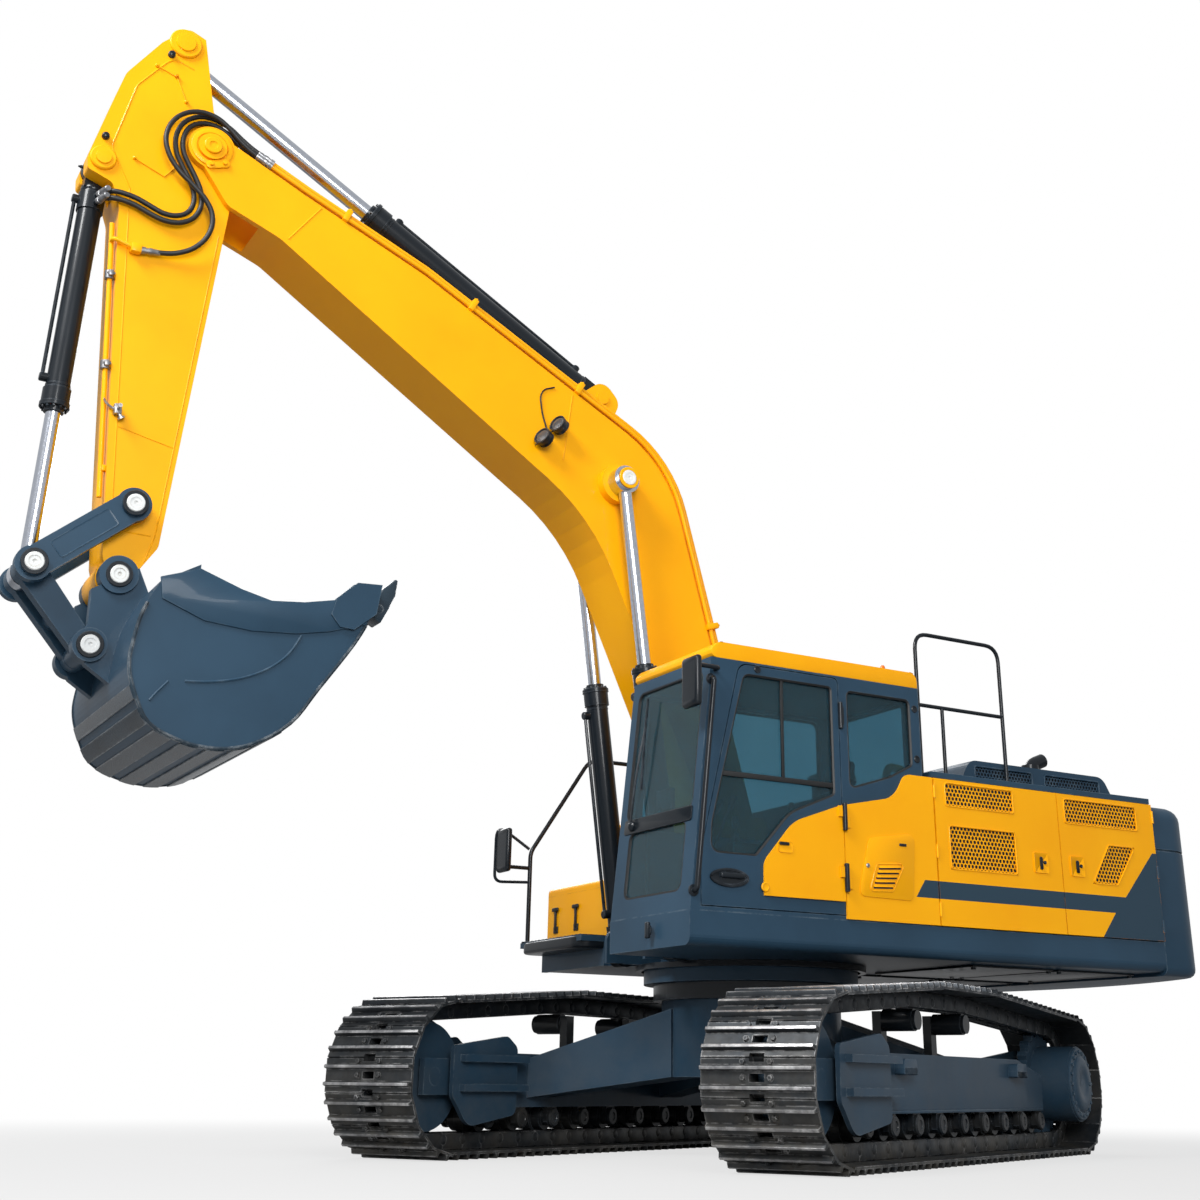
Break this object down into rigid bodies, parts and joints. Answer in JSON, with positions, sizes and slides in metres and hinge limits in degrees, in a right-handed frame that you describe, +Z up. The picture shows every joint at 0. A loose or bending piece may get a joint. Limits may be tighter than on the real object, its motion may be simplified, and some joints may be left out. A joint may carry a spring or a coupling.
{
  "type": "crawler excavator",
  "caption": "Tracked hydraulic excavator with a slewing cab house, bent boom, arm, bucket linkage and toothed bucket, posed with the arm raised in front.",
  "frame": {"origin": "on the ground, on the slewing axis", "axes": "+X forward along the house and boom, +Y to the left of the operator, +Z up; the tracks stand turned 28 degrees under the house"},
  "size_m": [8.8041, 5.4167, 7.4413],
  "materials": {
    "yellow_paint": "satin",
    "slate_paint": "satin",
    "black_paint": "satin",
    "track_steel": "worn",
    "tinted_glass": "gloss",
    "seat_fabric": "matte",
    "console_plastic": "matte",
    "chrome_rod": "polished",
    "hose_rubber": "matte"
  },
  "bodies": {
    "undercarriage": {"track_left": "track_steel", "track_right": "track_steel", "track_frame_left": "slate_paint", "track_frame_right": "slate_paint", "idlers": "slate_paint", "sprockets": "slate_paint", "track_rollers": "black_paint", "carrier_rollers": "black_paint", "carbody": "slate_paint", "slewing_bearing": "black_paint"},
    "house": {"upper_frame": "slate_paint", "counterweight": "slate_paint", "engine_bay_frame": "slate_paint", "engine": "black_paint", "bay_deck": "slate_paint", "side_panel_left": "yellow_paint", "fuel_tank": "yellow_paint", "tool_box": "yellow_paint", "right_step": "slate_paint", "right_handrail": "black_paint", "rear_handrail": "black_paint", "cab_frame": "slate_paint", "cab_roof": "yellow_paint", "cab_glass": "tinted_glass", "operator_seat": "seat_fabric", "control_consoles": "console_plastic", "cab_grab_rail": "black_paint", "mirrors": "black_paint"},
    "hood": {"hood": "slate_paint", "exhaust_stack": "black_paint"},
    "side_door_left_front": {"side_door_left_front": "yellow_paint"},
    "side_door_left_rear": {"side_door_left_rear": "yellow_paint"},
    "side_door_right_front": {"side_door_right_front": "yellow_paint"},
    "side_door_right_rear": {"side_door_right_rear": "yellow_paint"},
    "tool_box_lid": {"tool_box_lid": "yellow_paint"},
    "cab_door": {"cab_door": "slate_paint", "cab_door_panel": "yellow_paint", "cab_door_glass": "tinted_glass"},
    "boom": {"boom": "yellow_paint", "boom_pipes": "yellow_paint", "boom_lamps": "black_paint", "arm_hose_pipe": "hose_rubber", "arm_hose_lower": "hose_rubber", "arm_hose_upper": "hose_rubber"},
    "boom_barrel_left": {"boom_cylinder_barrel_left": "black_paint"},
    "boom_rod_left": {"boom_cylinder_rod_left": "chrome_rod"},
    "boom_barrel_right": {"boom_cylinder_barrel_right": "black_paint"},
    "boom_rod_right": {"boom_cylinder_rod_right": "chrome_rod"},
    "arm": {"arm": "yellow_paint", "arm_pipes": "yellow_paint"},
    "arm_barrel": {"arm_cylinder_barrel": "black_paint"},
    "arm_rod": {"arm_cylinder_rod": "chrome_rod"},
    "bucket_barrel": {"bucket_cylinder_barrel": "black_paint"},
    "bucket_rod": {"bucket_cylinder_rod": "chrome_rod"},
    "rocker": {"rocker_links": "slate_paint"},
    "link": {"bucket_link": "slate_paint"},
    "bucket": {"bucket": "slate_paint", "bucket_teeth": "black_paint"}
  },
  "joints": [
    {"name": "swing", "type": "hinge", "parent": "undercarriage", "child": "house", "pos_m": [0, 0, 0], "axis": [0, 0, 1], "continuous": true},
    {"name": "boom_lift", "type": "hinge", "parent": "house", "child": "boom", "pos_m": [0.178, 0, 1.83], "axis": [0, -1, 0], "range_deg": [-75, 15]},
    {"name": "boom_barrel_left", "type": "hinge", "parent": "house", "child": "boom_barrel_left", "pos_m": [0.858, 0.372, 1.33], "axis": [0, -1, 0], "range_deg": [-75.7, 15.14]},
    {"name": "boom_rod_left", "type": "slide", "parent": "boom_barrel_left", "child": "boom_rod_left", "axis": [0.1391, 0, 0.9903], "range_m": [-0.98544, 0.19709]},
    {"name": "boom_barrel_right", "type": "hinge", "parent": "house", "child": "boom_barrel_right", "pos_m": [0.858, -0.372, 1.33], "axis": [0, -1, 0], "range_deg": [-75.7, 15.14]},
    {"name": "boom_rod_right", "type": "slide", "parent": "boom_barrel_right", "child": "boom_rod_right", "axis": [0.1391, 0, 0.9903], "range_m": [-0.98544, 0.19709]},
    {"name": "arm_swing", "type": "hinge", "parent": "boom", "child": "arm", "pos_m": [4.60284, 0, 6.50914], "axis": [0, -1, 0], "range_deg": [-4, 106], "deforming": ["arm_hose_pipe", "arm_hose_lower", "arm_hose_upper"]},
    {"name": "arm_barrel", "type": "hinge", "parent": "boom", "child": "arm_barrel", "pos_m": [1.37197, 0, 5.37199], "axis": [0, -1, 0], "range_deg": [-0.07, 1.78]},
    {"name": "arm_rod", "type": "slide", "parent": "arm_barrel", "child": "arm_rod", "axis": [0.8744, 0, 0.4852], "range_m": [-1.3795, 0.05206]},
    {"name": "bucket_curl", "type": "hinge", "parent": "arm", "child": "bucket", "pos_m": [4.83574, 0, 3.33768], "axis": [0, -1, 0], "range_deg": [-8, 130]},
    {"name": "rocker", "type": "hinge", "parent": "arm", "child": "rocker", "pos_m": [4.80151, 0, 3.80389], "axis": [0, -1, 0], "range_deg": [-5.12, 83.15]},
    {"name": "link", "type": "hinge", "parent": "rocker", "child": "link", "pos_m": [5.34407, 0, 3.33057], "axis": [0, -1, 0], "range_deg": [-57.95, 3.57]},
    {"name": "bucket_barrel", "type": "hinge", "parent": "arm", "child": "bucket_barrel", "pos_m": [5.3036, 0, 6.2258], "axis": [0, -1, 0], "range_deg": [-0.23, 3.67]},
    {"name": "bucket_rod", "type": "slide", "parent": "bucket_barrel", "child": "bucket_rod", "axis": [0.014, 0, -0.9999], "range_m": [-0.96157, 0.05917]},
    {"name": "cab_door", "type": "hinge", "parent": "house", "child": "cab_door", "pos_m": [0.24, 1.507, 2.2], "axis": [0, 0, 1], "range_deg": [0, 110]},
    {"name": "side_door_left_front", "type": "hinge", "parent": "house", "child": "side_door_left_front", "pos_m": [-0.546, 1.494, 1.9], "axis": [0, 0, -1], "range_deg": [0, 100]},
    {"name": "side_door_left_rear", "type": "hinge", "parent": "house", "child": "side_door_left_rear", "pos_m": [-2.644, 1.494, 1.9], "axis": [0, 0, 1], "range_deg": [0, 100]},
    {"name": "side_door_right_front", "type": "hinge", "parent": "house", "child": "side_door_right_front", "pos_m": [-0.546, -1.494, 1.9], "axis": [0, 0, 1], "range_deg": [0, 100]},
    {"name": "side_door_right_rear", "type": "hinge", "parent": "house", "child": "side_door_right_rear", "pos_m": [-2.644, -1.494, 1.9], "axis": [0, 0, -1], "range_deg": [0, 100]},
    {"name": "hood", "type": "hinge", "parent": "house", "child": "hood", "pos_m": [-1.05, 0, 2.4923], "axis": [0, 1, 0], "range_deg": [0, 60]},
    {"name": "tool_box_lid", "type": "hinge", "parent": "house", "child": "tool_box_lid", "pos_m": [0.392, -0.984, 1.8603], "axis": [0, -1, 0], "range_deg": [0, 80]}
  ],
  "couplings": [
    {"joint": "boom_barrel_left", "follows": "boom_lift", "ratio": 1.0093},
    {"joint": "boom_rod_left", "follows": "boom_lift", "m_per_rad": 0.75282},
    {"joint": "boom_barrel_right", "follows": "boom_lift", "ratio": 1.0093},
    {"joint": "boom_rod_right", "follows": "boom_lift", "m_per_rad": 0.75282},
    {"joint": "arm_barrel", "follows": "arm_swing", "ratio": 0.01675},
    {"joint": "arm_rod", "follows": "arm_swing", "m_per_rad": -0.74565},
    {"joint": "rocker", "follows": "bucket_curl", "ratio": 0.6396},
    {"joint": "link", "follows": "bucket_curl", "ratio": -0.4458},
    {"joint": "bucket_barrel", "follows": "bucket_curl", "ratio": 0.0282},
    {"joint": "bucket_rod", "follows": "bucket_curl", "m_per_rad": -0.4238}
  ]
}
